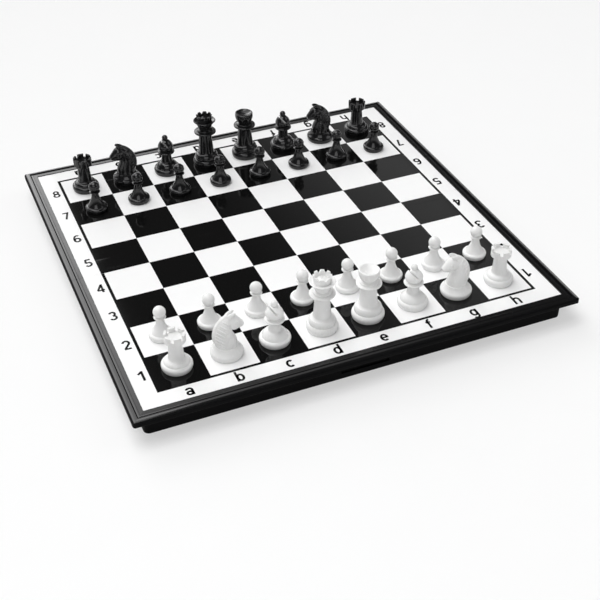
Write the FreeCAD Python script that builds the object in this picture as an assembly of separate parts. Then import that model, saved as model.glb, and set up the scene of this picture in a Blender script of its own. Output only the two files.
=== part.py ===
import FreeCAD, Part
import math
import os

# Folding magnetic travel chess set, open for play with every piece on its first square.
# The origin lies on the table under the middle of the board. X runs along the ranks from
# the a-file to the h-file, Y from White's side to Black's side, and Z is up.

Vector = FreeCAD.Vector
ORIGIN = Vector(0, 0, 0)
X_AXIS = Vector(1, 0, 0)
Y_AXIS = Vector(0, 1, 0)
Z_AXIS = Vector(0, 0, 1)

# Board and playing surface
board_side = 240.0
surface_height = 14.0
label_margin = 11.4
files = "abcdefgh"
print_thickness = 0.2
steel_thickness = 0.3
sheet_clearance = 0.15

# Moulded case: panel, rim, overhanging lip and skirt
panel_wall = 2.0
rim_width = 7.0
rim_corner_radius = 2.2
edge_drop = 0.3
edge_height = 2.4
edge_round = 0.5
band_width = 3.0
band_rise = 0.55
band_crown = 0.2
groove_width = 0.7
groove_depth = 0.7
bead_width = 1.2
bead_rise = 0.3
bead_crown = 0.12
frame_rise = 0.45
lip_overhang = 6.0
skirt_wall = 1.2
skirt_draft = 0.3
skirt_corner_radius = 3.0
fold_gap = 0.14
fold_wall = 2.0

# Fold hinge: two double-ended links, each turning on a pin in either half
hinge_spread = 140.0
pivot_offset = 2.5
link_width = 12.0
link_table_clearance = 0.2
link_web = 2.8
link_side_clearance = 0.3
link_swing_clearance = 0.4
pin_radius = 0.9
pin_running_clearance = 0.05
lug_width = 5.0
lug_wall = 1.8

# Flip clasp on the far edge, tucked up under the lip, and the slot its hook closes into
clasp_width = 26.0
clasp_thickness = 1.4
clasp_pivot_height = 3.0
clasp_pivot_reach = 2.0
clasp_top_clearance = 0.9
clasp_barrel_radius = 1.6
clasp_side_clearance = 0.3
clasp_pin_radius = 0.8
clasp_lug_width = 3.5
clasp_lug_radius = 1.7
hook_reach = 2.2
hook_height = 1.0
catch_clearance = 0.2

# Magnet in the foot of every piece
magnet_radius = 3.0
magnet_thickness = 1.6
magnet_recess = 0.15
magnet_clearance = 0.1

# Turned foot shared by the pieces: bevelled bead, step, rounded shoulder and cove
foot_inset = 0.5
foot_height = 1.8
foot_bulge = 0.12
bead_inset = 0.9
bead_bulge = 0.35
step_inset = 0.45
step_rise = 0.15
shoulder_bulge = 0.45
cove_height = 1.0
cove_bulge = 0.25

# Pawn
pawn_base_radius = 6.4
pawn_bead_height = 3.0
pawn_cone_length = 8.5
pawn_cone_hollow = 0.7
pawn_waist_radius = 1.9
pawn_collar_radius = 2.9
pawn_collar_thickness = 1.1
pawn_head_radius = 3.2
pawn_seat_radius = 2.0

# Rook
rook_base_radius = 7.8
rook_bead_height = 3.6
rook_shoulder_radius = 4.7
rook_shoulder_height = 2.0
rook_stem_radius = 3.9
rook_stem_length = 8.2
rook_waist_radius = 3.4
rook_flare_height = 1.7
rook_flare_hollow = 0.35
rook_crown_radius = 5.3
rook_crown_height = 4.2
rook_crown_wall = 1.3
rook_well_depth = 2.4
rook_slot_width = 1.7
rook_slot_depth = 2.0
rook_slot_pairs = 3

# Bishop
bishop_base_radius = 8.0
bishop_bead_height = 3.6
bishop_shoulder_radius = 4.0
bishop_shoulder_height = 3.4
bishop_stem_radius = 3.2
bishop_stem_length = 4.4
bishop_waist_radius = 2.8
bishop_collar_flare = 0.8
bishop_collar_radius = 4.8
bishop_collar_thickness = 1.0
bishop_neck_radius = 3.3
bishop_neck_length = 0.7
bishop_ring_radius = 3.9
bishop_mitre_radius = 4.6
bishop_mitre_rise = 2.6
bishop_mitre_length = 6.8
bishop_tip_radius = 1.3
bishop_finial_radius = 1.75
bishop_slit_width = 0.9
bishop_slit_tilt = 40.0
bishop_slit_start = 3.4

# Queen
queen_base_radius = 8.2
queen_bead_height = 4.0
queen_shoulder_radius = 6.1
queen_shoulder_height = 3.2
queen_stem_radius = 4.6
queen_stem_length = 11.8
queen_waist_radius = 3.8
queen_collar_flare = 1.3
queen_collar_radius = 6.3
queen_collar_thickness = 1.0
queen_neck_radius = 3.6
queen_neck_length = 1.6
queen_ring_radius = 4.6
queen_bowl_radius = 6.7
queen_bowl_height = 5.2
queen_bowl_hollow = 0.4
queen_bowl_lip = 0.7
queen_coronet_seat = 4.3
queen_coronet_radius = 4.8
queen_coronet_height = 4.0
queen_coronet_wall = 1.1
queen_dome_rise = 1.6
queen_points = 8
queen_notch_width = 1.9
queen_notch_depth = 1.6

# King
king_base_radius = 8.5
king_bead_height = 4.0
king_shoulder_radius = 6.3
king_shoulder_height = 3.4
king_stem_radius = 4.8
king_stem_length = 10.4
king_waist_radius = 3.9
king_collar_flare = 1.4
king_collar_radius = 6.3
king_collar_thickness = 1.0
king_neck_radius = 3.5
king_neck_length = 1.6
king_ring_radius = 4.7
king_cup_radius = 5.3
king_cup_height = 6.0
king_cup_lip = 0.8
king_cup_bulge = 0.8
king_dish_depth = 1.2

# Knight: turned plinth under a lofted neck and head. Each oval section is given as
# (front x, front z, back x, back z, half thickness), with z counted from the plinth's top.
knight_base_radius = 8.3
knight_bead_height = 3.2
knight_plinth_radius = 5.8
knight_plinth_height = 3.0
knight_neck = [
    (-5.5, 0.0, 5.6, 0.0, 5.1),
    (-5.3, 2.6, 6.1, 3.1, 4.6),
    (-4.4, 5.0, 6.3, 6.9, 4.3),
    (-3.4, 7.2, 5.4, 10.5, 3.9),
    (-3.2, 9.4, 4.0, 12.9, 3.6),
    (-3.4, 12.0, 1.5, 15.5, 3.1),
    (-3.9, 14.6, -1.4, 17.2, 2.3),
]
knight_head = [
    (-1.4, 9.4, 1.2, 15.2, 3.0),
    (-4.0, 8.1, -2.2, 16.6, 3.5),
    (-5.9, 8.4, -5.4, 16.0, 3.1),
    (-7.3, 8.8, -7.3, 13.8, 2.3),
    (-8.3, 9.2, -8.8, 11.9, 1.8),
    (-8.9, 9.8, -9.2, 11.0, 1.1),
]
oval_points = 8
knight_mane_depth = 2.2
knight_mane_rise = 0.5
knight_mane_share = 0.5
knight_ear_root = (0.0, 1.1, 15.6)
knight_ear_tip = (-5.0, 1.5, 18.0)
knight_ear_width = 1.9
knight_ear_thickness = 2.4
knight_eye = (-5.3, 2.75, 13.6)
knight_eye_radius = 0.7

# Values that follow from the sizes above
board_half = board_side / 2
edge_bulge = edge_round * (1 - math.sqrt(0.5))
square_side = (board_side - 2 * (rim_width + label_margin)) / len(files)
bed_height = surface_height - print_thickness - steel_thickness
panel_underside = bed_height - panel_wall
lip_underside = surface_height - edge_drop - edge_height
skirt_top_half = board_half - lip_overhang
skirt_foot_half = skirt_top_half - skirt_draft
hollow_half = skirt_foot_half - skirt_wall
fold_face = -fold_gap / 2
link_radius = pivot_offset - link_table_clearance
notch_half_width = link_width / 2 + link_side_clearance
clasp_length = lip_underside - clasp_top_clearance - clasp_pivot_height
clasp_pivot_y = skirt_top_half + clasp_pivot_reach
through = board_side


def outline_edges(points, place):
    """Edges through (a, b, bulge) points; bulge is how far the stretch ending there bows out."""
    edges = []
    for (a0, b0, _), (a1, b1, bulge) in zip(points, points[1:]):
        start = place(a0, b0)
        end = place(a1, b1)
        if bulge:
            length = math.hypot(a1 - a0, b1 - b0)
            middle_a = (a0 + a1) / 2 + bulge * (b1 - b0) / length
            middle_b = (b0 + b1) / 2 - bulge * (a1 - a0) / length
            edges.append(Part.Arc(start, place(middle_a, middle_b), end).toShape())
        else:
            edges.append(Part.LineSegment(start, end).toShape())
    return edges


def outline_face(points, place):
    """Flat face inside a closed outline of (a, b, bulge) points."""
    return Part.Face(Part.Wire(outline_edges(points + [points[0][:2] + (0,)], place)))


def box_between(low, high):
    """Box between two corners, each given as (x, y, z)."""
    size = [b - a for a, b in zip(low, high)]
    return Part.makeBox(*size, Vector(*low))


def rod(radius, length, y, z, x=0.0):
    """Round bar along X, centred on x."""
    return Part.makeCylinder(radius, length, Vector(x - length / 2, y, z), X_AXIS)


def rounded_square(half, radius, z):
    """Wire of a square with rounded corners, lying at height z."""
    flat = half - radius
    corner = radius * math.sqrt(0.5)
    edges = []
    for quarter in range(4):
        turn = FreeCAD.Rotation(Z_AXIS, 90 * quarter)
        side_start = Vector(half, -flat, z)
        side_end = Vector(half, flat, z)
        arc_middle = Vector(flat + corner, flat + corner, z)
        arc_end = Vector(flat, half, z)
        edges.append(Part.LineSegment(turn.multVec(side_start), turn.multVec(side_end)).toShape())
        arc = Part.Arc(turn.multVec(side_end), turn.multVec(arc_middle), turn.multVec(arc_end))
        edges.append(arc.toShape())
    return Part.Wire(edges)


def rounded_prism(half, radius, low, high):
    """Upright square prism with rounded corners."""
    return Part.Face(rounded_square(half, radius, low)).extrude(Vector(0, 0, high - low))


def rim_frame():
    """Rim and lip on all four sides: outer band, groove, bead and inner band round the sheet."""
    groove_start = band_width
    bead_start = groove_start + groove_width
    bead_end = bead_start + bead_width
    crest = surface_height + band_rise
    lip_inner = board_half - hollow_half
    shoulder = surface_height - edge_drop
    section = [
        (edge_round, lip_underside, 0),
        (0, lip_underside + edge_round, -edge_bulge),
        (0, shoulder - edge_round, 0),
        (edge_round, shoulder, -edge_bulge),
        (band_width, crest, -band_crown),
        (groove_start, crest - groove_depth, 0),
        (bead_start, crest - groove_depth, 0),
        (bead_start, surface_height, 0),
        (bead_end, surface_height + bead_rise, -bead_crown),
        (rim_width, surface_height + frame_rise, 0),
        (rim_width, bed_height, 0),
        (lip_inner, bed_height, 0),
        (lip_inner, lip_underside, 0),
    ]
    face = outline_face(section, lambda inward, z: Vector(inward - board_half, -board_half, z))
    run = face.extrude(Vector(0, board_side, 0))
    wedge_corners = [
        ORIGIN,
        Vector(-board_side, board_side, 0),
        Vector(-board_side, -board_side, 0),
    ]
    wedge_outline = Part.makePolygon(wedge_corners + wedge_corners[:1])
    wedge = Part.Face(wedge_outline).extrude(Z_AXIS * board_side)
    side = run.common(wedge)
    frame = side
    for quarter in range(1, 4):
        turned_side = side.copy()
        turned_side.rotate(ORIGIN, Z_AXIS, 90 * quarter)
        frame = frame.fuse(turned_side)
    return frame.common(rounded_prism(board_half, rim_corner_radius, 0, board_side))


def skirt():
    """Drafted upright wall under the lip, open below."""
    foot = rounded_square(skirt_foot_half, skirt_corner_radius, 0)
    top = rounded_square(skirt_top_half, skirt_corner_radius, panel_underside)
    hollow = rounded_prism(hollow_half, skirt_corner_radius - skirt_wall, 0, panel_underside)
    return Part.makeLoft([foot, top], True, True).cut(hollow)


def skirt_face(z):
    """Distance of the skirt's outer face from the middle of the board at height z."""
    return skirt_top_half - skirt_draft * (1 - z / panel_underside)


def hinge_places():
    """Positions of the two hinge links along the fold."""
    return [-hinge_spread / 2, hinge_spread / 2]


def hinge_lugs(x):
    """Pair of blocks behind the fold wall that hold one hinge pin of the near half."""
    depth = pivot_offset + pin_radius + lug_wall
    lugs = []
    for side in (-1, 1):
        near = x + side * notch_half_width
        far = near + side * lug_width
        lugs.append(box_between((min(near, far), -depth, 0), (max(near, far), fold_face, depth)))
    return lugs


def case_half():
    """Near half of the case: panel, rim, skirt and fold wall, with its hinge seats."""
    panel = box_between(
        (-skirt_top_half, -skirt_top_half, panel_underside), (skirt_top_half, fold_face, bed_height))
    wall = box_between(
        (-hollow_half - skirt_wall / 2, fold_face - fold_wall, 0),
        (hollow_half + skirt_wall / 2, fold_face, panel_underside))
    near_side = box_between((-through, -through, -through), (through, fold_face, through))
    ring = skirt().fuse(rim_frame()).common(near_side)
    lugs = [lug for x in hinge_places() for lug in hinge_lugs(x)]
    half = ring.fuse([panel, wall] + lugs)
    fold_corner = box_between((-through, -pivot_offset, -through), (through, through, pivot_offset))
    roll = rod(pivot_offset + fold_face, 2 * through, -pivot_offset, pivot_offset)
    cuts = [fold_corner.cut(roll)]
    notch_depth = pivot_offset + link_radius + link_swing_clearance
    pin_length = 2 * (notch_half_width + lug_width)
    for x in hinge_places():
        low = (x - notch_half_width, -notch_depth, -through)
        high = (x + notch_half_width, through, notch_depth)
        cuts.append(box_between(low, high))
        cuts.append(rod(pin_radius, pin_length, -pivot_offset, pivot_offset, x))
    for tool in cuts:
        half = half.cut(tool)
    return half.removeSplitter()


def mirrored(shape):
    """The same shape on the far side of the fold."""
    return shape.mirror(ORIGIN, Y_AXIS)


def clasp_slot():
    """Blind slot in the near skirt that the clasp's hook swings into when the case is shut."""
    hook_high = clasp_length - clasp_pivot_height
    hook_tip = clasp_pivot_y - clasp_thickness / 2 - hook_reach
    swing_rise = math.hypot(clasp_thickness / 2 + hook_reach, clasp_length) - clasp_length
    half_width = clasp_width / 2 + catch_clearance
    return box_between(
        (-half_width, -board_half, hook_high - hook_height - catch_clearance),
        (half_width, catch_clearance - hook_tip, hook_high + swing_rise + catch_clearance))


def clasp_lugs():
    """Two rounded ears on the far skirt that carry the clasp's pin."""
    root = skirt_foot_half - skirt_wall / 2
    ears = []
    for side in (-1, 1):
        near = side * (clasp_width / 2 + clasp_side_clearance)
        far = near + side * clasp_lug_width
        low = (min(near, far), root, clasp_pivot_height - clasp_lug_radius)
        high = (max(near, far), clasp_pivot_y, clasp_pivot_height + clasp_lug_radius)
        middle = (near + far) / 2
        boss = rod(clasp_lug_radius, clasp_lug_width, clasp_pivot_y, clasp_pivot_height, middle)
        ears.append(box_between(low, high).fuse(boss))
    return ears


def clasp_pin():
    """Pin through both ears and the clasp's barrel."""
    length = clasp_width + 2 * (clasp_side_clearance + clasp_lug_width)
    return rod(clasp_pin_radius, length, clasp_pivot_y, clasp_pivot_height)


def clasp():
    """Barrel, plate and hooked finger edge, standing up behind the skirt."""
    plate_low = clasp_pivot_y - clasp_thickness / 2
    plate_high = clasp_pivot_y + clasp_thickness / 2
    top = clasp_pivot_height + clasp_length
    barrel = rod(clasp_barrel_radius, clasp_width, clasp_pivot_y, clasp_pivot_height)
    plate = box_between(
        (-clasp_width / 2, plate_low, clasp_pivot_height), (clasp_width / 2, plate_high, top))
    hook = box_between(
        (-clasp_width / 2, plate_high, top - hook_height),
        (clasp_width / 2, plate_high + hook_reach, top))
    bore = rod(clasp_pin_radius + pin_running_clearance, through, clasp_pivot_y, clasp_pivot_height)
    return barrel.fuse([plate, hook]).cut(bore).removeSplitter()


def hinge_link(x):
    """Double-ended link with a bore at either pivot."""
    ends = [rod(link_radius, link_width, y, pivot_offset, x) for y in (-pivot_offset, pivot_offset)]
    web = box_between(
        (x - link_width / 2, -pivot_offset, pivot_offset - link_web / 2),
        (x + link_width / 2, pivot_offset, pivot_offset + link_web / 2))
    link = ends[0].fuse([ends[1], web])
    for y in (-pivot_offset, pivot_offset):
        link = link.cut(rod(pin_radius + pin_running_clearance, through, y, pivot_offset, x))
    return link.removeSplitter()


def hinge_pins(y):
    """The pair of pins of one half, pressed into its lugs."""
    length = 2 * (notch_half_width + lug_width)
    return Part.makeCompound([rod(pin_radius, length, y, pivot_offset, x) for x in hinge_places()])


def board_sheet(low, thickness):
    """Sheet of the near half that lies inside the rim, up to the fold."""
    half = board_half - rim_width - sheet_clearance
    return box_between((-half, -half, low), (half, fold_face, low + thickness))


def turned(points):
    """Solid turned about Z from (radius, height, bulge) points that start and end on Z."""
    face = outline_face(points, lambda radius, z: Vector(radius, 0, z))
    return face.revolve(ORIGIN, Z_AXIS, 360)


def turned_foot(radius, bead_height, shoulder_radius, shoulder_height, stem_radius):
    """Outline of a foot from the table up to the start of the stem."""
    ledge = radius - bead_inset
    step = bead_height + step_rise
    shoulder = bead_height + shoulder_height
    return [
        (0, 0, 0),
        (radius - foot_inset, 0, 0),
        (radius, foot_height, foot_bulge),
        (ledge, bead_height, bead_bulge),
        (ledge - step_inset, step, 0),
        (shoulder_radius, shoulder, shoulder_bulge),
        (stem_radius, shoulder + cove_height, -cove_bulge),
    ]


def collar(start, waist, flare, radius, thickness, ring_radius, neck_radius, neck_length):
    """Outline of a waist that flares into a round-edged collar, then draws in past a ring to a neck."""
    edge = start + flare
    top = edge + thickness
    ring = top + neck_length / 6
    return [
        (waist, start, 0),
        (radius, edge, -flare / 6),
        (radius, top, thickness / 3),
        (ring_radius, ring, 0),
        (ring_radius, ring + neck_length / 2, neck_length / 6),
        (neck_radius, top + neck_length, 0),
    ]


def ball_on(seat_radius, seat_height, radius):
    """Outline of a ball that stands on a round seat, up to its top on the axis."""
    top = seat_height + math.sqrt(radius ** 2 - seat_radius ** 2) + radius
    chord = math.hypot(seat_radius, top - seat_height)
    return [(seat_radius, seat_height, 0), (0, top, radius - math.sqrt(radius ** 2 - chord ** 2 / 4))]


def cap_bulge(radius, rise):
    """Bulge of the outline of a spherical cap, from its edge to its middle on the axis."""
    sphere = (radius ** 2 + rise ** 2) / (2 * rise)
    chord = math.hypot(radius, rise)
    return sphere - math.sqrt(sphere ** 2 - chord ** 2 / 4)


def pawn():
    """Ball head on a thin collar, over a hollow cone and a bead."""
    ledge = pawn_base_radius - bead_inset - step_inset
    cone_start = pawn_bead_height + step_rise
    waist = cone_start + pawn_cone_length
    collar_top = waist + pawn_collar_thickness
    return turned([
        (0, 0, 0),
        (pawn_base_radius - foot_inset, 0, 0),
        (pawn_base_radius, pawn_bead_height / 2, foot_bulge),
        (pawn_base_radius - bead_inset, pawn_bead_height, bead_bulge),
        (ledge, cone_start, 0),
        (pawn_waist_radius, waist, -pawn_cone_hollow),
        (pawn_collar_radius, waist + pawn_collar_thickness / 4, 0),
        (pawn_collar_radius, waist + pawn_collar_thickness * 3 / 4, pawn_collar_thickness / 5),
    ] + ball_on(pawn_seat_radius, collar_top, pawn_head_radius))


def rook():
    """Tower with a flared, slotted crown round a shallow well."""
    foot = turned_foot(
        rook_base_radius, rook_bead_height, rook_shoulder_radius, rook_shoulder_height, rook_stem_radius)
    waist = foot[-1][1] + rook_stem_length
    crown = waist + rook_flare_height
    top = crown + rook_crown_height
    well = top - rook_well_depth
    inner = rook_crown_radius - rook_crown_wall
    body = turned(foot + [
        (rook_waist_radius, waist, 0),
        (rook_crown_radius, crown, -rook_flare_hollow),
        (rook_crown_radius, top, 0),
        (inner, top, 0),
        (inner, well, 0),
        (0, well, 0),
    ])
    for index in range(rook_slot_pairs):
        slot = box_between(
            (-through, -rook_slot_width / 2, top - rook_slot_depth),
            (through, rook_slot_width / 2, through))
        slot.rotate(ORIGIN, Z_AXIS, 180 * index / rook_slot_pairs)
        body = body.cut(slot)
    return body


def bishop():
    """Collared stem under a slit mitre with a ball finial."""
    foot = turned_foot(
        bishop_base_radius, bishop_bead_height, bishop_shoulder_radius, bishop_shoulder_height,
        bishop_stem_radius)
    waist = foot[-1][1] + bishop_stem_length
    ring = collar(
        waist, bishop_waist_radius, bishop_collar_flare, bishop_collar_radius, bishop_collar_thickness,
        bishop_ring_radius, bishop_neck_radius, bishop_neck_length)
    mitre = ring[-1][1]
    widest = mitre + bishop_mitre_rise
    tip = mitre + bishop_mitre_length
    body = turned(foot + ring + [
        (bishop_mitre_radius, widest, bishop_mitre_rise / 6),
        (bishop_tip_radius, tip, bishop_mitre_radius / 8),
    ] + ball_on(bishop_tip_radius, tip, bishop_finial_radius)[1:])
    slit = box_between((-bishop_slit_width / 2, -through, 0), (bishop_slit_width / 2, through, through))
    slit.rotate(ORIGIN, Y_AXIS, -bishop_slit_tilt)
    slit.translate(Z_AXIS * (mitre + bishop_slit_start))
    return body.cut(slit)


def queen():
    """Tall collared stem under a flared bowl that holds a pointed coronet."""
    foot = turned_foot(
        queen_base_radius, queen_bead_height, queen_shoulder_radius, queen_shoulder_height,
        queen_stem_radius)
    waist = foot[-1][1] + queen_stem_length
    ring = collar(
        waist, queen_waist_radius, queen_collar_flare, queen_collar_radius, queen_collar_thickness,
        queen_ring_radius, queen_neck_radius, queen_neck_length)
    rim = ring[-1][1] + queen_bowl_height
    floor = rim - queen_bowl_lip / 2
    tip = floor + queen_coronet_height
    well = tip - queen_notch_depth - queen_coronet_wall
    well_radius = queen_coronet_seat - queen_coronet_wall
    body = turned(foot + ring + [
        (queen_bowl_radius, rim, -queen_bowl_hollow),
        (queen_bowl_radius - queen_bowl_lip, rim + queen_bowl_lip / 4, queen_bowl_lip / 4),
        (queen_coronet_seat, floor, 0),
        (queen_coronet_radius, tip, 0),
        (queen_coronet_radius - queen_coronet_wall, tip, 0),
        (well_radius, well, 0),
        (0, well + queen_dome_rise, cap_bulge(well_radius, queen_dome_rise)),
    ])
    notch_corners = [
        Vector(0, -queen_notch_width, tip + queen_notch_depth),
        Vector(0, queen_notch_width, tip + queen_notch_depth),
        Vector(0, 0, tip - queen_notch_depth),
    ]
    notch_outline = Part.makePolygon(notch_corners + notch_corners[:1])
    notch = Part.Face(notch_outline).extrude(X_AXIS * through)
    for index in range(queen_points):
        cutter = notch.copy()
        cutter.rotate(ORIGIN, Z_AXIS, 360 * index / queen_points)
        body = body.cut(cutter)
    return body


def king():
    """Collared stem under a dished cup."""
    foot = turned_foot(
        king_base_radius, king_bead_height, king_shoulder_radius, king_shoulder_height, king_stem_radius)
    waist = foot[-1][1] + king_stem_length
    ring = collar(
        waist, king_waist_radius, king_collar_flare, king_collar_radius, king_collar_thickness,
        king_ring_radius, king_neck_radius, king_neck_length)
    rim = ring[-1][1] + king_cup_height
    dish_radius = king_cup_radius - king_cup_lip
    return turned(foot + ring + [
        (king_cup_radius, rim, king_cup_bulge),
        (dish_radius, rim, king_cup_lip / 4),
        (0, rim - king_dish_depth, -cap_bulge(dish_radius, king_dish_depth)),
    ])


def oval(front, back, half_thickness):
    """Closed oval across the horse, from a front point to a back point in its middle plane."""
    middle = (front + back) / 2
    spread = (back - front) / 2
    points = []
    for index in range(oval_points):
        angle = 2 * math.pi * index / oval_points
        side = Vector(0, half_thickness * math.sin(angle), 0)
        points.append(middle + spread * math.cos(angle) + side)
    curve = Part.BSplineCurve()
    curve.interpolate(points + points[:1])
    return Part.Wire(curve.toShape())


def horse_loft(sections):
    """Solid through ovals given as (front x, front z, back x, back z, half thickness)."""
    wires = []
    for front_x, front_z, back_x, back_z, half_thickness in sections:
        wires.append(oval(Vector(front_x, 0, front_z), Vector(back_x, 0, back_z), half_thickness))
    return Part.makeLoft(wires, True, False)


def knight_ear(side):
    """Leaf-shaped ear laid forward along the crown, an egg drawn out from its root to its tip."""
    root = Vector(*knight_ear_root)
    tip = Vector(*knight_ear_tip)
    root.y *= side
    tip.y *= side
    along = (tip - root) / 2
    across = along.cross(Z_AXIS).normalize() * (knight_ear_width / 2)
    upward = across.cross(along).normalize() * (knight_ear_thickness / 2)
    middle = (root + tip) / 2
    drawn_out = FreeCAD.Matrix(
        along.x, across.x, upward.x, middle.x,
        along.y, across.y, upward.y, middle.y,
        along.z, across.z, upward.z, middle.z)
    return Part.makeSphere(1).transformGeometry(drawn_out)


def knight():
    """Horse's head and neck facing the a-file, on a turned plinth."""
    plinth_top = knight_bead_height + knight_plinth_height
    plinth = turned([
        (0, 0, 0),
        (knight_base_radius - foot_inset, 0, 0),
        (knight_base_radius, foot_height, foot_bulge),
        (knight_base_radius - bead_inset / 2, knight_bead_height, bead_bulge / 2),
        (knight_plinth_radius, plinth_top, -cove_bulge),
        (0, plinth_top, 0),
    ])
    neck = horse_loft(knight_neck)
    head = horse_loft(knight_head)
    mane_sections = []
    for front_x, front_z, back_x, back_z, half_thickness in knight_neck[1:]:
        front = Vector(front_x, 0, front_z)
        back = Vector(back_x, 0, back_z)
        outward = (back - front).normalize()
        root = back - outward * knight_mane_depth
        crest = back + outward * knight_mane_rise
        mane_sections.append((root.x, root.z, crest.x, crest.z, half_thickness * knight_mane_share))
    mane = horse_loft(mane_sections)
    details = []
    for side in (-1, 1):
        details.append(knight_ear(side))
        eye = Vector(*knight_eye)
        eye.y *= side
        details.append(Part.makeSphere(knight_eye_radius, eye))
    horse = neck.fuse(head).fuse([mane] + details)
    horse.translate(Vector(0, 0, plinth_top))
    return plinth.fuse(horse)


def with_magnet(body):
    """A piece with a disc magnet seated in a pocket in its foot, as two solids."""
    pocket = Part.makeCylinder(magnet_radius + magnet_clearance, magnet_recess + magnet_thickness)
    magnet = Part.makeCylinder(magnet_radius, magnet_thickness, Vector(0, 0, magnet_recess))
    return Part.makeCompound([body.cut(pocket), magnet])


def place_on(piece, file_name, rank, half_turn=False):
    """Copy of a piece on the middle of a square."""
    placed = piece.copy()
    if half_turn:
        placed.rotate(ORIGIN, Z_AXIS, 180)
    middle = (len(files) + 1) / 2
    column = files.index(file_name) + 1
    x = (column - middle) * square_side
    y = (rank - middle) * square_side
    placed.translate(Vector(x, y, surface_height))
    return placed


def chessmen():
    """Both armies on their first squares, by node name."""
    shapes = {kind.__name__: with_magnet(kind()) for kind in (pawn, rook, knight, bishop, queen, king)}
    back_rank = {
        "a": "rook", "b": "knight", "c": "bishop", "d": "queen",
        "e": "king", "f": "bishop", "g": "knight", "h": "rook"}
    men = {}
    for colour, back, front in (("white", 1, 2), ("black", 8, 7)):
        for file_name, kind in back_rank.items():
            single = kind in ("king", "queen")
            name = f"{colour}_{kind}" if single else f"{colour}_{kind}_{file_name}"
            half_turn = name == "white_knight_b"
            men[name] = place_on(shapes[kind], file_name, back, half_turn)
            men[f"{colour}_pawn_{file_name}"] = place_on(shapes["pawn"], file_name, front)
    return men


def build():
    """Every node of the set, by name."""
    half = case_half()
    steel = board_sheet(bed_height, steel_thickness)
    paper = board_sheet(bed_height + steel_thickness, print_thickness)
    nodes = {
        "case_front": half.cut(clasp_slot()),
        "case_rear": mirrored(half).fuse(clasp_lugs()).cut(clasp_pin()).removeSplitter(),
        "steel_sheet_front": steel,
        "steel_sheet_rear": mirrored(steel),
        "print_sheet_front": paper,
        "print_sheet_rear": mirrored(paper),
        "hinge_link_left": hinge_link(hinge_places()[0]),
        "hinge_link_right": hinge_link(hinge_places()[1]),
        "hinge_pins_front": hinge_pins(-pivot_offset),
        "hinge_pins_rear": hinge_pins(pivot_offset),
        "clasp": clasp(),
        "clasp_pin": clasp_pin(),
    }
    nodes.update(chessmen())
    return nodes


os.makedirs("parts", exist_ok=True)
for node_name, node_shape in build().items():
    node_shape.exportStep(f"parts/{node_name}.step")
    solids = node_shape.Solids
    print(node_name, len(solids), round(sum(solid.Volume for solid in solids), 1), node_shape.isValid())
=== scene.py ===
"""Dresses a folding magnetic travel chess set: its print, manes, finishes, studio and camera."""

from __future__ import annotations

import logging
import math
from dataclasses import dataclass, field
from enum import Enum
from typing import Any, Union

import bmesh
import bpy
import numpy as np
from mathutils import Matrix, Vector
from mathutils.bvhtree import BVHTree

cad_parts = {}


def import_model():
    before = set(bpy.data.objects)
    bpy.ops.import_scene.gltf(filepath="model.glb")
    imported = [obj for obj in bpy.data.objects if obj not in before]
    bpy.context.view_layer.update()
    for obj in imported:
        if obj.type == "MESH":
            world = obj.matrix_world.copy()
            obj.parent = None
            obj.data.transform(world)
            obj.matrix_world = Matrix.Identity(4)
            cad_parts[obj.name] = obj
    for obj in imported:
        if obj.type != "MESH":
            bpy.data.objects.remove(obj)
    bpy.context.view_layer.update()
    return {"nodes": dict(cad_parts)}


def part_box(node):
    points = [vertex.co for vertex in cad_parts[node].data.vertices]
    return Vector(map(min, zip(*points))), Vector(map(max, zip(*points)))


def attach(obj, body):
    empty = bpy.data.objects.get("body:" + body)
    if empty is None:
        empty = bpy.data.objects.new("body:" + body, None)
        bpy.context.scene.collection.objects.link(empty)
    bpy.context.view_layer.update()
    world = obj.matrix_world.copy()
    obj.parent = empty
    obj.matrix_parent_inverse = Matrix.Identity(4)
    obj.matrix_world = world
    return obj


LOG = logging.getLogger("chess_set")
MM = 0.001
FILES = "abcdefgh"
RANKS = "12345678"
SEAM_GAP = 0.002 * MM
BOW_STEP = 12  # degrees between the points of a curved pen stroke
NOISE_MIDDLE = 0.5
PLASTIC_IOR = 1.49
FILM_IOR = 1.5

Colour = tuple[float, float, float]
Triple = tuple[float, float, float]
Bounds = tuple[float, float]
Surface = tuple[np.ndarray, np.ndarray]
WHITE: Colour = (1.0, 1.0, 1.0)


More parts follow.
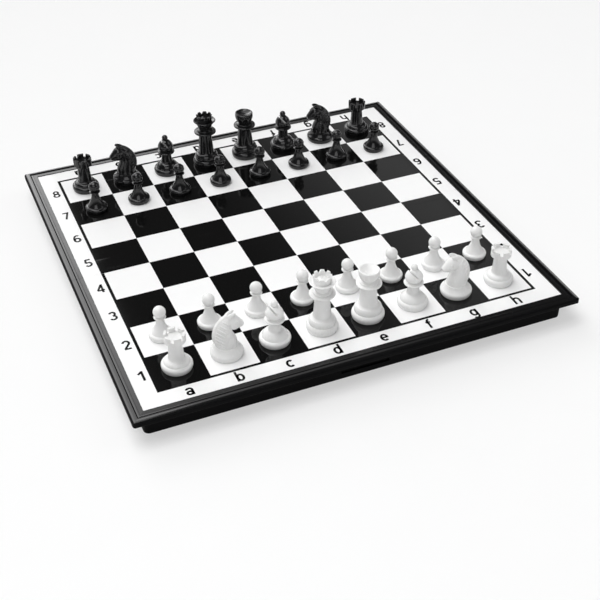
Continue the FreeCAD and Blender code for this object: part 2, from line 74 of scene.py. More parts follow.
class Sock:
    """A shader value that adds Math nodes when it is used in a Python expression."""

    def __init__(self, shader: Shader, socket: bpy.types.NodeSocket) -> None:
        """Wraps one output socket.

        Args:
            shader: The shader whose tree takes the new nodes.
            socket: The output socket that carries the value.
        """
        self.shader = shader
        self.socket = socket

    def _math(self, operation: str, first: Any, second: Any = None) -> Sock:
        """Adds one Math node.

        Args:
            operation: The Math node's operation.
            first: Its first value or socket.
            second: Its second value or socket, where it has one.

        Returns:
            The node's result.
        """
        values = {0: first} if second is None else {0: first, 1: second}
        return self.shader.node("ShaderNodeMath", {"operation": operation}, values)

    def __add__(self, other: Any) -> Sock:
        """self + other."""
        return self._math("ADD", self, other)

    def __radd__(self, other: Any) -> Sock:
        """other + self."""
        return self._math("ADD", other, self)

    def __sub__(self, other: Any) -> Sock:
        """self - other."""
        return self._math("SUBTRACT", self, other)

    def __rsub__(self, other: Any) -> Sock:
        """other - self."""
        return self._math("SUBTRACT", other, self)

    def __mul__(self, other: Any) -> Sock:
        """self * other."""
        return self._math("MULTIPLY", self, other)

    def __rmul__(self, other: Any) -> Sock:
        """other * self."""
        return self._math("MULTIPLY", other, self)

    def __truediv__(self, other: Any) -> Sock:
        """self / other."""
        return self._math("DIVIDE", self, other)

    def __pow__(self, other: Any) -> Sock:
        """self raised to other."""
        return self._math("POWER", self, other)

    def __abs__(self) -> Sock:
        """The value without its sign."""
        return self._math("ABSOLUTE", self)

    def fract(self) -> Sock:
        """The part after the whole number."""
        return self._math("FRACT", self)

    def most(self, other: Any) -> Sock:
        """The larger of two values."""
        return self._math("MAXIMUM", self, other)

    def ramp(self, low: float, high: float) -> Sock:
        """A smooth rise from 0 to 1.

        Args:
            low: The value that gives 0.
            high: The value that gives 1, which may be the smaller of the two.

        Returns:
            The smoothed share.
        """
        return self.shader.node(
            "ShaderNodeMapRange",
            {"interpolation_type": "SMOOTHSTEP"},
            {"Value": self, "From Min": low, "From Max": high, "To Min": 0.0, "To Max": 1.0},
        )


class Shader:
    """The node tree of one material or of the surround, filled from Python expressions."""

    def __init__(
        self, holder: Union[bpy.types.Material, bpy.types.World], point: str = "Object"
    ) -> None:
        """Empties the tree and reads its point.

        Args:
            holder: The new material or world.
            point: The texture coordinate that the patterns read.
        """
        holder.use_nodes = True
        self.holder = holder
        self.tree = holder.node_tree
        self.tree.nodes.clear()
        self.point = self.node("ShaderNodeTexCoord", {}, {}, point)

    def node(
        self, kind: str, settings: dict[str, Any], values: dict[Any, Any], output: Any = 0
    ) -> Sock:
        """Adds any node.

        Args:
            kind: The node's type.
            settings: Its properties, set before its sockets.
            values: Its input sockets by name or number, as numbers, tuples or other values.
            output: The output socket to hand back, by name or number.

        Returns:
            The chosen output, which is empty on a node that ends the tree.
        """
        made = self.tree.nodes.new(kind)
        for key, setting in settings.items():
            setattr(made, key, setting)
        for key, value in values.items():
            if isinstance(value, Sock):
                self.tree.links.new(value.socket, made.inputs[key])
            elif isinstance(value, tuple) and made.inputs[key].type == "RGBA":
                made.inputs[key].default_value = (*value, 1.0)
            else:
                made.inputs[key].default_value = value
        return Sock(self, made.outputs[output] if made.outputs else None)

    def axes(self) -> tuple[Sock, Sock, Sock]:
        """Splits the point.

        Returns:
            X, Y and Z, in metres in the frame of the whole set, or of a direction.
        """
        outputs = self.node("ShaderNodeSeparateXYZ", {}, {0: self.point}).socket.node.outputs
        return Sock(self, outputs[0]), Sock(self, outputs[1]), Sock(self, outputs[2])

    def stretched(self, share: Triple) -> Sock:
        """The point, scaled by a factor for X, Y and Z."""
        values = {0: self.point, 1: share}
        return self.node("ShaderNodeVectorMath", {"operation": "MULTIPLY"}, values)

    def mix(self, factor: Any, first: Any, second: Any) -> Sock:
        """Blends two colours.

        Args:
            factor: The share of the second colour.
            first: The colour at 0.
            second: The colour at 1.

        Returns:
            The blended colour.
        """
        return self.node(
            "ShaderNodeMix", {"data_type": "RGBA"}, {0: factor, 6: first, 7: second}, 2
        )

    def bump(self, height: Sock, distance: float) -> Sock:
        """Turns a height, where 1 stands for a distance in metres, into a normal."""
        return self.node("ShaderNodeBump", {}, {"Distance": distance, "Height": height})

    def end(self, surface: Sock) -> Any:
        """Ends the tree.

        Args:
            surface: The shader that covers the surface or fills the surround.

        Returns:
            The finished material or world.
        """
        kind = "World" if isinstance(self.holder, bpy.types.World) else "Material"
        self.node(f"ShaderNodeOutput{kind}", {}, {"Surface": surface})
        return self.holder

    def principled(self, **values: Any) -> bpy.types.Material:
        """Ends the tree in one Principled shader.

        Args:
            **values: Its sockets, with underscores for the spaces in their names.

        Returns:
            The finished material.
        """
        named = {key.replace("_", " "): value for key, value in values.items()}
        return self.end(self.node("ShaderNodeBsdfPrincipled", {}, named))


class Half(Enum):
    """The two halves of the case, by the side of the fold that they lie on."""

    FRONT = -1
    REAR = 1

    @property
    def body(self) -> str:
        """The CAD body's name."""
        return self.name.lower()

    @property
    def fold_edge(self) -> float:
        """Where the half's print sheet ends beside the fold, along Y."""
        low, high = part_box(f"print_sheet_{self.body}")
        return high[1] if self is Half.FRONT else low[1]


@dataclass(frozen=True)
class Grain:
    """A noise pattern about one half, in cells per metre, with octaves of finer noise.

    A stretch scales the point that it reads along X, Y and Z. Bounds turn the noise into a smooth
    rise from 0 to 1 between them.
    """

    scale: float
    detail: float = 2.0
    stretch: Union[Triple, None] = None
    bounds: Union[Bounds, None] = None

    def on(self, shader: Shader) -> Sock:
        """Draws the pattern in a shader's tree.

        Args:
            shader: The shader that takes its nodes.

        Returns:
            The noise, or its share between the bounds.
        """
        point = shader.point if self.stretch is None else shader.stretched(self.stretch)
        values = {"Vector": point, "Scale": self.scale, "Detail": self.detail}
        noise = shader.node("ShaderNodeTexNoise", {}, values)
        return noise if self.bounds is None else noise.ramp(*self.bounds)


@dataclass(frozen=True)
class MouldedPlastic:
    """Black moulded plastic: a polished rim over a dull groove and skirt, with flow and scuffs."""

    name: str = "case_black"
    colour: Colour = (0.004, 0.004, 0.0043)
    worn: Colour = (0.007, 0.007, 0.0074)
    flow: Grain = Grain(26.0, 3.0)
    flow_bounds: Bounds = (0.35, 0.9)
    grain: Grain = Grain(1500.0)
    scuffs: Grain = Grain(420.0, 4.0, (1.0, 0.12, 0.6), (0.62, 0.8))
    flow_tint: float = 0.6
    scuff_tint: float = 0.3
    roughness: float = 0.5
    flow_roughness: float = 0.1
    scuff_rub: float = 0.08
    specular: float = 0.02
    polish_start: float = -0.12 * MM
    polish_full: float = 0.02 * MM
    polish_roughness: float = 0.12
    skirt_polish: float = 0.03
    scuff_wear: float = 0.15
    peel: float = 0.012 * MM
    flow_relief: float = 0.65
    polished_grain: float = 0.25
    satin_grain: float = 0.6

    def material(self, surface: float) -> bpy.types.Material:
        """Builds the finish.

        Args:
            surface: Height of the playing surface.

        Returns:
            The material.
        """
        shader = Shader(bpy.data.materials.new(self.name))
        _, _, z = shader.axes()
        polished = (z - surface).ramp(self.polish_start, self.polish_full)
        flow, grain, scuffs = (part.on(shader) for part in (self.flow, self.grain, self.scuffs))
        tint = flow.ramp(*self.flow_bounds) * self.flow_tint + scuffs * self.scuff_tint
        streaks = (flow - NOISE_MIDDLE) * self.flow_roughness
        coat = self.skirt_polish + (1 - self.skirt_polish) * polished
        texture = grain * (self.polished_grain + self.satin_grain * (1 - polished))
        return shader.principled(
            Base_Color=shader.mix(tint, self.colour, self.worn),
            Roughness=self.roughness + streaks - scuffs * self.scuff_rub,
            IOR=PLASTIC_IOR,
            Specular_IOR_Level=self.specular,
            Coat_Weight=coat * (1 - scuffs * self.scuff_wear),
            Coat_Roughness=self.polish_roughness,
            Normal=shader.bump(texture + flow * self.flow_relief, self.peel),
        )


@dataclass(frozen=True)
class ChessmanPlastic:
    """Moulded chessman plastic, with its mould line and the disc magnet in its foot."""

    name: str
    colour: Colour
    worn: Colour
    roughness: float
    subsurface: float
    flow: Grain = Grain(150.0)
    flow_bounds: Bounds = (0.3, 0.8)
    grain: Grain = Grain(2600.0, 1.0)
    handled: Grain = Grain(700.0, 3.0, (1.0, 1.0, 0.35), (0.55, 0.8))
    flow_tint: float = 0.5
    handled_tint: float = 0.2
    flow_roughness: float = 0.08
    handled_roughness: float = 0.06
    scatter_radius: Triple = (1.0, 1.0, 0.95)
    scatter_scale: float = 0.8 * MM
    magnet_radius: float = 3.05 * MM
    magnet_top: float = 1.76 * MM
    magnet_roughness: float = 0.15
    steel: Colour = (0.33, 0.33, 0.34)
    edge: float = 0.02 * MM
    mould_line: float = 0.12 * MM
    line_relief: float = 0.8
    grain_relief: float = 0.1
    flow_relief: float = 0.5

    def material(self, square: float, surface: float) -> bpy.types.Material:
        """Builds the finish.

        Args:
            square: Side of one square of the board.
            surface: Height of the playing surface.

        Returns:
            The material.
        """
        shader = Shader(bpy.data.materials.new(self.name))
        x, y, z = shader.axes()
        across = ((x / square + len(FILES) / 2).fract() - 0.5) * square
        along = ((y / square + len(RANKS) / 2).fract() - 0.5) * square
        radius = (across * across + along * along) ** 0.5
        within = radius.ramp(self.magnet_radius + self.edge, self.magnet_radius - self.edge)
        height = z - surface
        magnet = within * height.ramp(self.magnet_top + self.edge, self.magnet_top - self.edge)
        line = abs(along).ramp(self.mould_line, self.edge) * (1 - magnet)
        flow, grain, handled = (part.on(shader) for part in (self.flow, self.grain, self.handled))
        tint = flow.ramp(*self.flow_bounds) * self.flow_tint + handled * self.handled_tint
        streaks = (flow - NOISE_MIDDLE) * self.flow_roughness + handled * self.handled_roughness
        texture = line * self.line_relief + grain * self.grain_relief + flow * self.flow_relief
        return shader.principled(
            Base_Color=shader.mix(magnet, shader.mix(tint, self.colour, self.worn), self.steel),
            Metallic=magnet,
            Roughness=self.roughness + streaks + magnet * self.magnet_roughness,
            IOR=PLASTIC_IOR,
            Subsurface_Weight=self.subsurface,
            Subsurface_Radius=self.scatter_radius,
            Subsurface_Scale=self.scatter_scale,
            Normal=shader.bump(texture, self.edge),
        )


@dataclass(frozen=True)
class LaminatedPrint:
    """Printed film under a clear gloss laminate with a faint ripple and hairline scratches."""

    name: str
    colour: Colour
    worn: Colour
    ripple: Grain = Grain(45.0, 1.0)
    fibre: Grain = Grain(1900.0)
    fibre_bounds: Bounds = (0.2, 0.9)
    hair: Grain = Grain(300.0, 3.0, (0.08, 1.6, 1.0), (0.66, 0.76))
    fibre_tint: float = 0.5
    roughness: float = 0.05
    hair_roughness: float = 0.12
    ripple_roughness: float = 0.03
    specular: float = 0.3
    relief: float = 0.02 * MM
    ripple_relief: float = 0.9
    fibre_relief: float = 0.02

    def material(self) -> bpy.types.Material:
        """Builds the finish.

        Returns:
            The material.
        """
        shader = Shader(bpy.data.materials.new(self.name))
        ripple, fibre, hair = (part.on(shader) for part in (self.ripple, self.fibre, self.hair))
        tint = fibre.ramp(*self.fibre_bounds) * self.fibre_tint
        waves = (ripple - NOISE_MIDDLE) * self.ripple_roughness
        texture = ripple * self.ripple_relief + fibre * self.fibre_relief
        return shader.principled(
            Base_Color=shader.mix(tint, self.colour, self.worn),
            Roughness=self.roughness + hair * self.hair_roughness + waves,
            IOR=FILM_IOR,
            Specular_IOR_Level=self.specular,
            Normal=shader.bump(texture, self.relief),
        )


@dataclass(frozen=True)
class RolledSteel:
    """Bright steel drawn or rolled along X."""

    name: str
    colour: Colour
    dull: Colour
    roughness: float
    lines: Grain = Grain(900.0, 3.0, (0.03, 1.0, 1.0))
    cloud: Grain = Grain(60.0, 3.0, None, (0.4, 0.8))
    line_tint: float = 0.6
    cloud_tint: float = 0.4
    line_roughness: float = 0.2
    relief: float = 0.006 * MM

    def material(self) -> bpy.types.Material:
        """Builds the finish.

        Returns:
            The material.
        """
        shader = Shader(bpy.data.materials.new(self.name))
        lines, cloud = self.lines.on(shader), self.cloud.on(shader)
        tint = lines * self.line_tint + cloud * self.cloud_tint
        return shader.principled(
            Base_Color=shader.mix(tint, self.colour, self.dull),
            Metallic=1.0,
            Roughness=self.roughness + (lines - NOISE_MIDDLE) * self.line_roughness,
            Normal=shader.bump(lines, self.relief),
        )


@dataclass(frozen=True)
class StudioFloor:
    """White table top that keeps a pale shadow and is clear from below."""

    name: str = "studio_floor"
    colour: Colour = (0.92, 0.92, 0.92)
    mottle: Colour = (0.9, 0.9, 0.9)
    pattern: Grain = Grain(40.0)
    lift: float = 0.46

    def material(self) -> bpy.types.Material:
        """Builds the finish.

        Returns:
            The material.
        """
        shader = Shader(bpy.data.materials.new(self.name))
        colour = shader.mix(self.pattern.on(shader), self.colour, self.mottle)
        lit = shader.node("ShaderNodeBsdfDiffuse", {}, {"Color": colour})
        white = shader.node("ShaderNodeEmission", {}, {"Color": WHITE, "Strength": 1.0})
        camera, glossy, passing = (
            shader.node("ShaderNodeLightPath", {}, {}, f"Is {kind} Ray")
            for kind in ("Camera", "Glossy", "Transmission")
        )
        seen = camera.most(glossy).most(passing)
        table = shader.node("ShaderNodeMixShader", {}, {0: seen * self.lift, 1: lit, 2: white})
        clear = shader.node("ShaderNodeBsdfTransparent", {}, {})
        below = shader.node("ShaderNodeNewGeometry", {}, {}, "Backfacing")
        return shader.end(shader.node("ShaderNodeMixShader", {}, {0: below, 1: table, 2: clear}))


def make_piece(name: str, points: np.ndarray, faces: np.ndarray) -> bpy.types.Object:
    """Puts arrays into a mesh object at the origin.

    Args:
        name: The piece's name.
        points: Corner points in metres, one row each.
        faces: Corner numbers, one row per face.

    Returns:
        The new object.
    """
    mesh = bpy.data.meshes.new(name)
    mesh.from_pydata(points.tolist(), [], faces.tolist())
    mesh.update()
    piece = bpy.data.objects.new(name, mesh)
    bpy.context.scene.collection.objects.link(piece)
    return piece


def close_seams(mesh: bpy.types.Mesh) -> None:
    """Joins the points of a mesh that fall together, at seams and poles.

    Args:
        mesh: The mesh to close.
    """
    closed = bmesh.new()
    closed.from_mesh(mesh)
    bmesh.ops.remove_doubles(closed, verts=closed.verts, dist=SEAM_GAP)
    closed.to_mesh(mesh)
    closed.free()


def mesh_arrays(mesh: bpy.types.Mesh) -> Surface:
    """Reads a mesh of triangles.

    Args:
        mesh: The mesh.

    Returns:
        Its points in metres and its faces.
    """
    points = np.empty((len(mesh.vertices), 3), dtype=np.float32)
    mesh.vertices.foreach_get("co", points.ravel())
    corners = np.empty(len(mesh.loops), dtype=np.int32)
    mesh.loops.foreach_get("vertex_index", corners)
    return points, corners.reshape(-1, 3)


def join_faces(parts: list[Surface]) -> Surface:
    """Joins several surfaces, with each one's face numbers moved past the points before it.

    Args:
        parts: The points and faces of each surface.

    Returns:
        All points and all faces.
    """
    starts = np.cumsum([0] + [len(points) for points, _ in parts[:-1]])
    faces = [some_faces + start for (_, some_faces), start in zip(parts, starts)]
    return np.concatenate([points for points, _ in parts]), np.concatenate(faces)


def sheet_grid(rows: int, columns: int) -> np.ndarray:
    """Numbers the quads of a grid of points, counted row by row.

    Args:
        rows: Points along the first parameter.
        columns: Points along the second parameter.

    Returns:
        Four corner numbers per quad, turning anticlockwise when the parameters run along X and Y.
    """
    corner = (np.arange(rows - 1)[:, None] * columns + np.arange(columns - 1)[None, :]).ravel()
    return np.stack([corner, corner + columns, corner + columns + 1, corner + 1], axis=1)


def dress(piece: bpy.types.Object, material: bpy.types.Material) -> None:
    """Gives a piece one material in place of any it has."""
    piece.data.materials.clear()
    piece.data.materials.append(material)


def middle_of(node: str) -> Vector:
    """The middle of a node's box at rest."""
    low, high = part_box(node)
    return (Vector(low) + Vector(high)) / 2


def stroke(*points: tuple[float, float]) -> np.ndarray:
    """A straight or broken pen stroke through points."""
    return np.array(points)


def bow(x: float, y: float, wide: float, high: float, start: float, end: float) -> np.ndarray:
    """A curved pen stroke: x + wide cos t, y + high sin t, with t running between two angles.

    Args:
        x: Middle of the oval, across.
        y: Middle of the oval, up.
        wide: Half its width.
        high: Half its height.
        start: First angle in degrees, anticlockwise from the right.
        end: Last angle in degrees.

    Returns:
        Points along the stroke.
    """
    turn = np.radians(np.linspace(start, end, 2 + int(abs(end - start)) // BOW_STEP))
    return np.column_stack([x + wide * np.cos(turn), y + high * np.sin(turn)])


@dataclass
class Lettering:
    """Plain upright letters and figures, drawn with a flat pen of one width.

    The strokes are the pen's middle lines, in heights of a figure, with the foot of the character
    at 0 and its left side near 0.
    """

    height: float = 7.3 * MM
    pen: float = 0.17
    letter_middle: float = 0.37
    figure_middle: float = 0.5

    def strokes(self, character: str) -> tuple[np.ndarray, ...]:
        """Gives one character's pen strokes.

        Args:
            character: A letter from a to h or a figure from 1 to 8.

        Returns:
            The middle line of each stroke.
        """
        bowl = bow(0.29, 0.365, 0.20, 0.29, 0, 360)
        return {
            "a": (
                stroke((0.45, 0.0), (0.45, 0.5)),
                bow(0.255, 0.485, 0.195, 0.18, 165, 0),
                bow(0.255, 0.22, 0.185, 0.15, 0, 360),
            ),
            "b": (stroke((0.08, 0.0), (0.08, 1.0)), bowl),
            "c": (bow(0.29, 0.365, 0.21, 0.295, 45, 315),),
            "d": (stroke((0.50, 0.0), (0.50, 1.0)), bowl),
            "e": (bow(0.29, 0.365, 0.21, 0.295, 0, 315), stroke((0.08, 0.365), (0.575, 0.365))),
            "f": (
                stroke((0.20, 0.0), (0.20, 0.76)),
                bow(0.36, 0.76, 0.16, 0.165, 180, 80),
                stroke((0.04, 0.665), (0.38, 0.665)),
            ),
            "g": (
                bow(0.28, 0.38, 0.20, 0.285, 0, 360),
                stroke((0.49, 0.74), (0.49, -0.02)),
                bow(0.285, -0.02, 0.205, 0.185, 0, -150),
            ),
            "h": (
                stroke((0.08, 0.0), (0.08, 1.0)),
                bow(0.285, 0.46, 0.205, 0.205, 180, 0),
                stroke((0.49, 0.46), (0.49, 0.0)),
            ),
            "1": (stroke((0.32, 0.0), (0.32, 1.0)), stroke((0.33, 0.93), (0.04, 0.71))),
            "2": (
                np.vstack([bow(0.28, 0.70, 0.21, 0.225, 170, -40), stroke((0.09, 0.09))]),
                stroke((0.05, 0.078), (0.53, 0.078)),
            ),
            "3": (bow(0.27, 0.715, 0.19, 0.21, 160, -90), bow(0.27, 0.29, 0.215, 0.215, 90, -160)),
            "4": (
                stroke((0.41, 0.0), (0.41, 1.0)),
                stroke((0.41, 0.93), (0.06, 0.31)),
                stroke((0.02, 0.275), (0.57, 0.275)),
            ),
            "5": (
                stroke((0.11, 0.922), (0.50, 0.922)),
                stroke((0.15, 0.97), (0.10, 0.50)),
                bow(0.27, 0.315, 0.22, 0.24, 140, -155),
            ),
            "6": (bow(0.29, 0.31, 0.21, 0.235, 0, 360), bow(0.33, 0.45, 0.25, 0.472, 200, 55)),
            "7": (stroke((0.04, 0.922), (0.53, 0.922)), stroke((0.45, 0.92), (0.19, 0.0))),
            "8": (bow(0.28, 0.72, 0.175, 0.205, 0, 360), bow(0.28, 0.29, 0.21, 0.215, 0, 360)),
        }[character]

    def ribbon(self, line: np.ndarray) -> Surface:
        """Widens one pen stroke.

        Half the pen's width is set off square to the middle line, to its right and to its left.

        Args:
            line: The stroke's middle line.

        Returns:
            Flat points in heights of a figure, and faces.
        """
        along = np.gradient(line, axis=0)
        along /= np.linalg.norm(along, axis=1, keepdims=True)
        left = np.column_stack([-along[:, 1], along[:, 0]]) * self.pen / 2
        points = np.stack([line - left, line + left], axis=1).reshape(-1, 2)
        return points, sheet_grid(len(line), 2)

    def character(self, text: str, x: float, y: float, turned: bool) -> Surface:
        """Sets one character about a point.

        Args:
            text: The character.
            x: Its middle along the ranks.
            y: Its middle along the files.
            turned: Whether it reads from Black's side.

        Returns:
            Flat points in metres, and faces.
        """
        points, faces = join_faces([self.ribbon(line) for line in self.strokes(text)])
        middle = (points[:, 0].min() + points[:, 0].max()) / 2
        rise = self.figure_middle if text in RANKS else self.letter_middle
        flat = (points - np.array([middle, rise])) * self.height
        return (-flat if turned else flat) + np.array([x, y]), faces


@dataclass
class BoardPrint:
    """Black ink on the two print sheets: squares, outline, letters and figures."""

    square: float
    surface: float
    ink: float = 0.02 * MM
    outline: float = 1.6 * MM
    letter_reach: float = 108.2 * MM
    figure_reach: float = 107.0 * MM
    lettering: Lettering = field(default_factory=Lettering)
    finish: LaminatedPrint = LaminatedPrint(
        "black_print", (0.0035, 0.0035, 0.0035), (0.006, 0.006, 0.006)
    )

    def squares(self, half: Half) -> Surface:
        """Lays the dark squares of one half.

        Each square is the flat surface x = x0 + u s, y = y0 + v s on a two by two grid. The ones
        whose file and rank numbers add up to an even number are dark. The row beside the fold
        stops at the sheet's edge.

        Args:
            half: The half of the board.

        Returns:
            Flat points and faces.
        """
        middle = len(FILES) // 2
        near = np.arange(middle) + (middle if half is Half.REAR else 0)
        files, ranks = np.meshgrid(np.arange(len(FILES)), near, indexing="ij")
        dark = (files + ranks) % 2 == 0
        corner = (np.stack([files[dark], ranks[dark]], axis=1) - middle) * self.square
        u, v = np.meshgrid([0.0, 1.0], [0.0, 1.0], indexing="ij")
        step = np.stack([u.ravel(), v.ravel()], axis=1) * self.square
        flat = corner[:, None, :] + step[None, :, :]
        limit = np.maximum if half is Half.REAR else np.minimum
        flat[..., 1] = limit(flat[..., 1], half.fold_edge)
        faces = np.arange(len(flat))[:, None, None] * len(step) + sheet_grid(2, 2)[None, :, :]
        return flat.reshape(-1, 2), faces.reshape(-1, 4)

    def frame_line(self, half: Half) -> Surface:
        """Lays the line round the squares of one half.

        A strip of constant width follows three sides of a rectangle, from the fold and back to it.
        Its inner edge is the edge of the squares, and its outer edge stands off by its width.

        Args:
            half: The half of the board.

        Returns:
            Flat points and faces.
        """
        inner = len(FILES) / 2 * self.square
        reach = np.array([inner, inner + self.outline])
        fold = np.full(2, half.fold_edge)
        path_x = np.stack([-reach, -reach, reach, reach])
        path_y = np.stack([fold, half.value * reach, half.value * reach, fold])
        points = np.stack([path_x, path_y], axis=2).reshape(-1, 2)
        faces = sheet_grid(4, 2)
        return points, faces if half is Half.REAR else faces[:, ::-1]

    def labels(self, half: Half) -> Surface:
        """Sets every letter and figure of one half.

        Args:
            half: The half of the board.

        Returns:
            Flat points and faces.
        """
        middle = (len(FILES) - 1) / 2
        edge = half.value * self.letter_reach
        spots = [
            (name, (file - middle) * self.square, edge, half is Half.REAR)
            for file, name in enumerate(FILES)
        ]
        for rank, name in enumerate(RANKS):
            place = (rank - middle) * self.square
            if place * half.value > 0:
                spots.append((name, -self.figure_reach, place, False))
                spots.append((name, self.figure_reach, place, True))
        return join_faces([self.lettering.character(*spot) for spot in spots])

    def build(self) -> None:
        """Prints both halves of the board."""
        material = self.finish.material()
        for half in Half:
            for part, surface in (
                ("squares", self.squares(half)),
                ("outline", self.frame_line(half)),
                ("labels", self.labels(half)),
            ):
                flat, faces = surface
                points = np.column_stack([flat, np.full(len(flat), self.surface + self.ink)])
                piece = make_piece(f"print_{part}_{half.body}", points, faces)
                dress(piece, material)
                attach(piece, half.body)
                LOG.info("%s: %d faces", piece.name, len(faces))


@dataclass
class FoldingCase:
    """The two half cases with their sheets, hinge and clasp."""

    nodes: dict[str, bpy.types.Object]
    surface: float
    shell: MouldedPlastic = MouldedPlastic()
    film: LaminatedPrint = LaminatedPrint("white_print", (0.95, 0.95, 0.95), (0.91, 0.91, 0.91))
    sheet_steel: RolledSteel = RolledSteel(
        "sheet_steel", (0.62, 0.62, 0.63), (0.42, 0.42, 0.43), 0.3
    )
    pin_steel: RolledSteel = RolledSteel("pin_steel", (0.66, 0.66, 0.67), (0.5, 0.5, 0.51), 0.22)

    def build(self) -> None:
        """Dresses every node of the case."""
        plastic = ("case_front", "case_rear", "hinge_link_left", "hinge_link_right", "clasp")
        looks = {
            plastic: self.shell.material(self.surface),
            ("print_sheet_front", "print_sheet_rear"): self.film.material(),
            ("steel_sheet_front", "steel_sheet_rear"): self.sheet_steel.material(),
            ("hinge_pins_front", "hinge_pins_rear", "clasp_pin"): self.pin_steel.material(),
        }
        for names, material in looks.items():
            for name in names:
                dress(self.nodes[name], material)
                LOG.info("%s: %s", name, material.name)


@dataclass
class KnightMane:
    """Carved locks that fall forward from the crest on both sides of one knight's neck."""

    node: bpy.types.Object
    locks: int = 7
    steps: int = 13
    sides: int = 8
    inset: float = 0.5 * MM
    length: float = 4.4 * MM
    drop: float = 2.8 * MM
    curl: float = 1.5
    radius: float = 0.42 * MM
    heights: Bounds = (0.42, 0.86)
    head_height: float = 0.75
    reach: float = 30.0 * MM

    def lock(self, tree: BVHTree, start: Vector, back: float, side: float) -> Surface:
        """Lays one lock on the neck.

        Its middle line runs forward and down from the crest, x = x0 - L t and z = z0 - D t^c with
        t from 0 to 1, at the neck's surface. A circle square to the line, of radius
        r sqrt(sin(pi t)), is carried along it and runs out to a point at both ends, so half of
        the lock stands out of the neck.

        Args:
            tree: The knight's surface.
            start: The lock's root on the crest.
            back: The side of the knight that its crest is on, 1 or -1 along X.
            side: The side of the neck, 1 or -1 along Y.

        Returns:
            Points in metres, and faces.
        """
        share = np.linspace(0.0, 1.0, self.steps)
        x = start.x - back * (self.inset + self.length * share)
        z = start.z - self.drop * share**self.curl
        inward = Vector((0.0, -side, 0.0))
        outer = start.y + side * self.reach
        hits = [tree.ray_cast(Vector((at_x, outer, at_z)), inward) for at_x, at_z in zip(x, z)]
        line, normal = (np.array([hit[part] for hit in hits]) for part in (0, 1))
        along = np.gradient(line, axis=0)
        along /= np.linalg.norm(along, axis=1, keepdims=True)
        across = np.cross(normal, along)
        radius = self.radius * np.sqrt(np.clip(np.sin(np.pi * share), 0.0, None))[:, None, None]
        turn = np.linspace(2.0 * math.pi, 0.0, self.sides + 1)[None, :, None]
        ring = np.cos(turn) * across[:, None, :] + np.sin(turn) * normal[:, None, :]
        return (line[:, None, :] + radius * ring).reshape(-1, 3), sheet_grid(self.steps, turn.size)

    def build(self, material: bpy.types.Material, slot: str) -> None:
        """Carves both sides of the neck.

        Args:
            material: The knight's plastic.
            slot: The knight's material slot; not used.
        """
        points, faces = mesh_arrays(self.node.data)
        tree = BVHTree.FromPolygons(points.tolist(), faces.tolist())
        foot, top = points[:, 2].min(), points[:, 2].max()
        middle = middle_of(self.node.name)
        head = points[points[:, 2] > foot + self.head_height * (top - foot)]
        back = -float(np.sign(head[:, 0].mean() - middle.x))
        forward = Vector((-back, 0.0, 0.0))
        parts = []
        for share in np.linspace(*self.heights, self.locks):
            level = Vector((middle.x, middle.y, foot + float(share) * (top - foot)))
            crest = tree.ray_cast(level - forward * self.reach, forward)[0]
            parts += [self.lock(tree, crest, back, side) for side in (-1.0, 1.0)]
        piece = make_piece(f"mane_{self.node.name}", *join_faces(parts))
        close_seams(piece.data)
        piece.data.shade_smooth()
        dress(piece, material)
        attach(piece, self.node.name)
        LOG.info("%s: %d locks", piece.name, len(parts))


@dataclass
class Chessmen:
    """The thirty-two men, kept as they were turned and lofted, with carved manes on the knights."""

    nodes: dict[str, bpy.types.Object]
    square: float
    surface: float
    white: ChessmanPlastic = ChessmanPlastic(
        "white_man", (0.87, 0.87, 0.865), (0.81, 0.81, 0.80), 0.26, 0.08
    )
    black: ChessmanPlastic = ChessmanPlastic(
        "black_man", (0.008, 0.008, 0.0085), (0.014, 0.014, 0.015), 0.11, 0.0
    )

    def build(self) -> None:
        """Dresses every man in its side's plastic and carves the knights' manes."""
        for side, finish in (("white", self.white), ("black", self.black)):
            material = finish.material(self.square, self.surface)
            for name in sorted(self.nodes):
                if name.startswith(f"{side}_"):
                    dress(self.nodes[name], material)
                    LOG.info("%s: %s", name, material.name)
                if name.startswith(f"{side}_knight"):
                    KnightMane(self.nodes[name]).build(material, f"{side}_men")


@dataclass(frozen=True)
class SkyPanel:
    """One soft-edged light panel of the surround, level and far above the table.

    Its bounds are slopes, X over Z and Y over Z of a direction, so a flat glossy surface shows its
    edges straight along the ranks and the files.
    """

    across: tuple[float, float, float, float]
    along: tuple[float, float, float, float]
    glow: float

    def light(self, across: Sock, along: Sock) -> Sock:
        """Gives the panel's light in a direction.

        Args:
            across: The direction's slope along X.
            along: The direction's slope along Y.

        Returns:
            The strength, which rises over the first two bounds and falls over the last two.
        """
        share = across.ramp(*self.across[:2]) * across.ramp(*self.across[:1:-1])
        return share * along.ramp(*self.along[:2]) * along.ramp(*self.along[:1:-1]) * self.glow


@dataclass(frozen=True)
class Softbox:
    """One rectangular lamp that faces a point on the board."""

    name: str
    place: Triple
    size: tuple[float, float]
    power: float
    aim: Triple = (0.0, 0.0, 0.0)

    def build(self) -> None:
        """Hangs the lamp, out of the camera's sight."""
        lamp = bpy.data.lights.new(self.name, "AREA")
        lamp.shape = "RECTANGLE"
        lamp.size, lamp.size_y = self.size
        lamp.energy = self.power
        holder = bpy.data.objects.new(self.name, lamp)
        place = Vector(self.place)
        turn = (Vector(self.aim) - place).to_track_quat("-Z", "Y")
        holder.matrix_world = Matrix.Translation(place) @ turn.to_matrix().to_4x4()
        holder.visible_camera = False
        bpy.context.scene.collection.objects.link(holder)


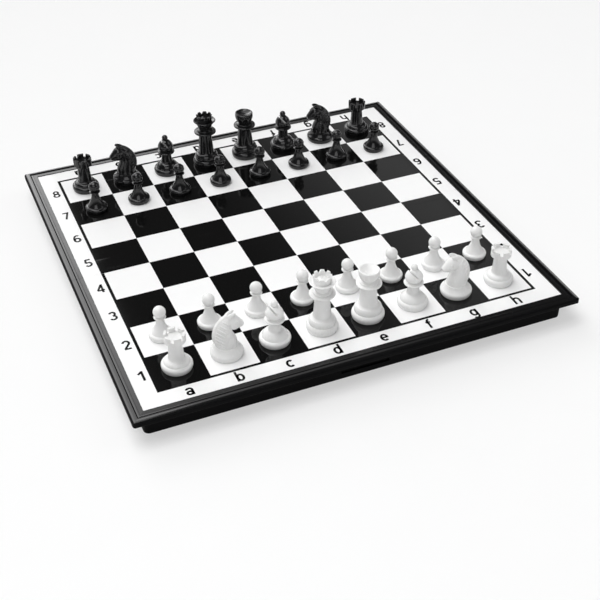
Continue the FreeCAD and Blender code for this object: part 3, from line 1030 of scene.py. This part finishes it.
@dataclass
class Studio:
    """White table, a dim surround with a white horizon, soft lamps and the camera."""

    reach: float = 6.0
    floor_points: int = 9
    floor_gap: float = 0.02 * MM
    camera_place: Triple = (-0.19165, -0.49545, 0.37028)
    azimuth: float = -22.343
    elevation: float = 37.332
    roll: float = -0.570
    lens: float = 67.92
    sensor: float = 36.0
    clip: Bounds = (0.01, 50.0)
    ambient: float = 0.06
    horizon: Bounds = (0.30, 0.08)
    sky_edge: Bounds = (0.02, 0.06)
    panels: tuple[SkyPanel, ...] = (
        SkyPanel((-2.2, -1.2, 0.225, 0.25), (0.5, 1.5, 2.2, 3.2), 3.2),
        SkyPanel((0.45, 0.85, 0.82, 0.845), (1.07, 1.09, 1.8, 2.4), 0.6),
        SkyPanel((-1.0, -0.4, 0.2, 1.2), (1.73, 1.9, 3.2, 4.5), 2.4),
        SkyPanel((-1.0, -0.4, 0.1, 0.62), (0.1, 0.3, 0.6, 1.07), 1.5),
    )
    floor: StudioFloor = StudioFloor()
    lamps: tuple[Softbox, ...] = (
        Softbox("overhead", (-0.3, 0.05, 1.3), (0.9, 0.9), 8.3),
        Softbox("front_fill", (-0.5, -1.0, 1.0), (1.0, 0.8), 4.2),
        Softbox("right_fill", (1.1, -0.2, 0.9), (0.8, 0.6), 2.0),
    )

    def build(self) -> None:
        """Sets up the floor, the surround, the lamps and the camera."""
        self.build_floor()
        self.build_world()
        for lamp in self.lamps:
            lamp.build()
        self.build_camera()
        bpy.context.scene.view_settings.view_transform = "Standard"

    def build_floor(self) -> None:
        """Lays the table top, a flat grid a hair under the case."""
        side = np.linspace(-self.reach, self.reach, self.floor_points)
        x, y = np.meshgrid(side, side, indexing="ij")
        points = np.stack([x.ravel(), y.ravel(), np.full(x.size, -self.floor_gap)], axis=1)
        floor = make_piece("table_top", points, sheet_grid(len(side), len(side)))
        dress(floor, self.floor.material())

    def build_world(self) -> None:
        """Surrounds the set with dim light, a white horizon and the light panels overhead."""
        shader = Shader(bpy.data.worlds.new("surround"), "Generated")
        x, y, z = shader.axes()
        rise = z.most(self.sky_edge[0])
        strength = self.ambient + z.ramp(*self.horizon) * (1 - self.ambient)
        for panel in self.panels:
            light = panel.light(x / rise, y / rise)
            strength = strength + light * z.ramp(*self.sky_edge)
        surround = shader.node("ShaderNodeBackground", {}, {"Color": WHITE, "Strength": strength})
        bpy.context.scene.world = shader.end(surround)

    def build_camera(self) -> None:
        """Stands the camera where the photograph was taken from."""
        camera = bpy.data.cameras.new("camera")
        camera.lens = self.lens
        camera.sensor_width = self.sensor
        camera.clip_start, camera.clip_end = self.clip
        holder = bpy.data.objects.new("camera", camera)
        azimuth, elevation = math.radians(self.azimuth), math.radians(self.elevation)
        level = math.cos(elevation)
        ahead = Vector(
            (-math.sin(azimuth) * level, math.cos(azimuth) * level, -math.sin(elevation))
        )
        turn = ahead.to_track_quat("-Z", "Y").to_matrix().to_4x4()
        tilt = Matrix.Rotation(math.radians(self.roll), 4, "Z")
        holder.matrix_world = Matrix.Translation(Vector(self.camera_place)) @ turn @ tilt
        bpy.context.scene.collection.objects.link(holder)
        bpy.context.scene.camera = holder


def main() -> None:
    """Loads the frame, dresses the set, lights it and notes its size."""
    logging.basicConfig(level=logging.INFO, format="%(message)s")
    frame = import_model()
    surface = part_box("print_sheet_front")[1][2]
    square = (middle_of("white_rook_h").x - middle_of("white_rook_a").x) / (len(FILES) - 1)
    LOG.info("playing surface at %.5f m, squares of %.5f m", surface, square)
    FoldingCase(frame["nodes"], surface).build()
    BoardPrint(square, surface).build()
    Chessmen(frame["nodes"], square, surface).build()
    Studio().build()


if __name__ == "__main__":
    main()
